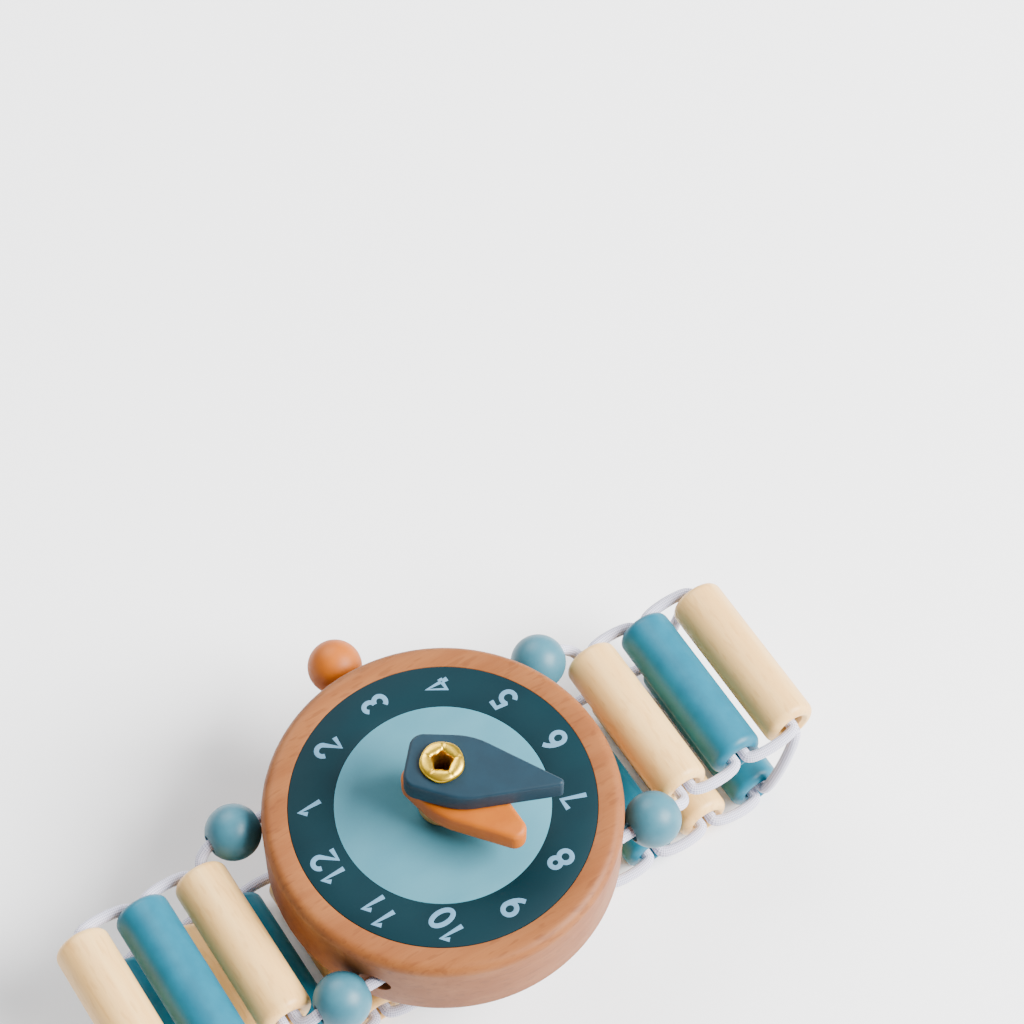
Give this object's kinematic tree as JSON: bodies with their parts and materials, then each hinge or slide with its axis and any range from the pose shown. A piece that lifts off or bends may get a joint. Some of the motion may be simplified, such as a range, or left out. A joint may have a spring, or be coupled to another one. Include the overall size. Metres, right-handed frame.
{
  "type": "toy watch",
  "caption": "Wooden toy watch: round case with a plain numbered dial, two turning hands on a hollow rivet, a crown bead and an elastic bead strap.",
  "frame": {"origin": "centre of the case's flat back face", "axes": "+Z out of the dial, +Y towards 12 o'clock along the strap, +X towards the crown at 3 o'clock"},
  "size_m": [0.0469, 0.0876, 0.0335],
  "materials": {
    "beech": "sanded and oiled, rounded rims",
    "dark_teal_print": "matte print on wood",
    "pale_blue_print": "matte print on wood",
    "natural_wood": "sanded, clear varnish",
    "teal_paint": "satin paint on wood",
    "teal_grey_paint": "satin paint on wood",
    "orange_paint": "matte paint on wood",
    "slate_paint": "matte paint on wood",
    "brass": "polished, slightly worn",
    "elastic": "white covered round elastic"
  },
  "bodies": {
    "watch": {"case": "beech", "dial_ring": "dark_teal_print", "dial_disc": "pale_blue_print", "hand_spacer": "natural_wood", "rivet": "brass", "elastic_front": "elastic", "elastic_links": "elastic", "elastic_knot": "elastic"},
    "hour_hand": {"hour_hand": "orange_paint"},
    "minute_hand": {"minute_hand": "slate_paint"},
    "crown": {"crown_bead": "orange_paint", "crown_peg": "natural_wood"},
    "rear_run": {"elastic_rear": "elastic"},
    "lug_bead_six_near": {"lug_bead_six_near": "teal_grey_paint"},
    "lug_bead_six_far": {"lug_bead_six_far": "teal_grey_paint"},
    "lug_bead_twelve_near": {"lug_bead_twelve_near": "teal_grey_paint"},
    "lug_bead_twelve_far": {"lug_bead_twelve_far": "teal_grey_paint"},
    "strap_bead_six_1": {"strap_bead_six_1": "natural_wood"},
    "strap_bead_six_2": {"strap_bead_six_2": "teal_paint"},
    "strap_bead_six_3": {"strap_bead_six_3": "natural_wood"},
    "strap_bead_twelve_1": {"strap_bead_twelve_1": "natural_wood"},
    "strap_bead_twelve_2": {"strap_bead_twelve_2": "teal_paint"},
    "strap_bead_twelve_3": {"strap_bead_twelve_3": "natural_wood"},
    "rear_bead_01": {"rear_bead_01": "teal_paint"},
    "rear_bead_02": {"rear_bead_02": "natural_wood"},
    "rear_bead_03": {"rear_bead_03": "teal_paint"},
    "rear_bead_04": {"rear_bead_04": "natural_wood"},
    "rear_bead_05": {"rear_bead_05": "teal_paint"},
    "rear_bead_06": {"rear_bead_06": "natural_wood"},
    "rear_bead_07": {"rear_bead_07": "teal_paint"},
    "rear_bead_08": {"rear_bead_08": "natural_wood"},
    "rear_bead_09": {"rear_bead_09": "teal_paint"},
    "rear_bead_10": {"rear_bead_10": "natural_wood"},
    "rear_bead_11": {"rear_bead_11": "teal_paint"}
  },
  "joints": [
    {"name": "hour_hand_turn", "type": "hinge", "parent": "watch", "child": "hour_hand", "pos_m": [0, 0, 0.0157], "axis": [0, 0, 1], "continuous": true},
    {"name": "minute_hand_turn", "type": "hinge", "parent": "watch", "child": "minute_hand", "pos_m": [0, 0, 0.0189], "axis": [0, 0, 1], "continuous": true},
    {"name": "crown_turn", "type": "hinge", "parent": "watch", "child": "crown", "pos_m": [0.02355, 0, 0.00535], "axis": [1, 0, 0], "continuous": true},
    {"name": "strap_stretch", "type": "slide", "parent": "watch", "child": "rear_run", "axis": [0, 0, -1], "range_m": [0, 0.018], "stiffness_N_per_m": 60, "springref_m": -0.003, "deforming": ["elastic_links"]},
    {"name": "lug_bead_six_near_turn", "type": "hinge", "parent": "watch", "child": "lug_bead_six_near", "pos_m": [-0.0118, -0.02015, 0.005], "axis": [0, 1, 0], "continuous": true},
    {"name": "lug_bead_six_far_turn", "type": "hinge", "parent": "watch", "child": "lug_bead_six_far", "pos_m": [0.0118, -0.02015, 0.005], "axis": [0, 1, 0], "continuous": true},
    {"name": "lug_bead_twelve_near_turn", "type": "hinge", "parent": "watch", "child": "lug_bead_twelve_near", "pos_m": [-0.0118, 0.02015, 0.005], "axis": [0, 1, 0], "continuous": true},
    {"name": "lug_bead_twelve_far_turn", "type": "hinge", "parent": "watch", "child": "lug_bead_twelve_far", "pos_m": [0.0118, 0.02015, 0.005], "axis": [0, 1, 0], "continuous": true},
    {"name": "strap_bead_six_1_turn", "type": "hinge", "parent": "watch", "child": "strap_bead_six_1", "pos_m": [0, -0.02583, 0.00335], "axis": [1, 0, 0], "continuous": true},
    {"name": "strap_bead_six_2_turn", "type": "hinge", "parent": "watch", "child": "strap_bead_six_2", "pos_m": [0, -0.03323, 0.00335], "axis": [1, 0, 0], "continuous": true},
    {"name": "strap_bead_six_3_turn", "type": "hinge", "parent": "watch", "child": "strap_bead_six_3", "pos_m": [0, -0.04063, 0.00335], "axis": [1, 0, 0], "continuous": true},
    {"name": "strap_bead_twelve_1_turn", "type": "hinge", "parent": "watch", "child": "strap_bead_twelve_1", "pos_m": [0, 0.02583, 0.00335], "axis": [1, 0, 0], "continuous": true},
    {"name": "strap_bead_twelve_2_turn", "type": "hinge", "parent": "watch", "child": "strap_bead_twelve_2", "pos_m": [0, 0.03323, 0.00335], "axis": [1, 0, 0], "continuous": true},
    {"name": "strap_bead_twelve_3_turn", "type": "hinge", "parent": "watch", "child": "strap_bead_twelve_3", "pos_m": [0, 0.04063, 0.00335], "axis": [1, 0, 0], "continuous": true},
    {"name": "rear_bead_01_turn", "type": "hinge", "parent": "rear_run", "child": "rear_bead_01", "pos_m": [0, -0.037, -0.00915], "axis": [1, 0, 0], "continuous": true},
    {"name": "rear_bead_02_turn", "type": "hinge", "parent": "rear_run", "child": "rear_bead_02", "pos_m": [0, -0.0296, -0.00915], "axis": [1, 0, 0], "continuous": true},
    {"name": "rear_bead_03_turn", "type": "hinge", "parent": "rear_run", "child": "rear_bead_03", "pos_m": [0, -0.0222, -0.00915], "axis": [1, 0, 0], "continuous": true},
    {"name": "rear_bead_04_turn", "type": "hinge", "parent": "rear_run", "child": "rear_bead_04", "pos_m": [0, -0.0148, -0.00915], "axis": [1, 0, 0], "continuous": true},
    {"name": "rear_bead_05_turn", "type": "hinge", "parent": "rear_run", "child": "rear_bead_05", "pos_m": [0, -0.0074, -0.00915], "axis": [1, 0, 0], "continuous": true},
    {"name": "rear_bead_06_turn", "type": "hinge", "parent": "rear_run", "child": "rear_bead_06", "pos_m": [0, 0, -0.00915], "axis": [1, 0, 0], "continuous": true},
    {"name": "rear_bead_07_turn", "type": "hinge", "parent": "rear_run", "child": "rear_bead_07", "pos_m": [0, 0.0074, -0.00915], "axis": [1, 0, 0], "continuous": true},
    {"name": "rear_bead_08_turn", "type": "hinge", "parent": "rear_run", "child": "rear_bead_08", "pos_m": [0, 0.0148, -0.00915], "axis": [1, 0, 0], "continuous": true},
    {"name": "rear_bead_09_turn", "type": "hinge", "parent": "rear_run", "child": "rear_bead_09", "pos_m": [0, 0.0222, -0.00915], "axis": [1, 0, 0], "continuous": true},
    {"name": "rear_bead_10_turn", "type": "hinge", "parent": "rear_run", "child": "rear_bead_10", "pos_m": [0, 0.0296, -0.00915], "axis": [1, 0, 0], "continuous": true},
    {"name": "rear_bead_11_turn", "type": "hinge", "parent": "rear_run", "child": "rear_bead_11", "pos_m": [0, 0.037, -0.00915], "axis": [1, 0, 0], "continuous": true}
  ]
}
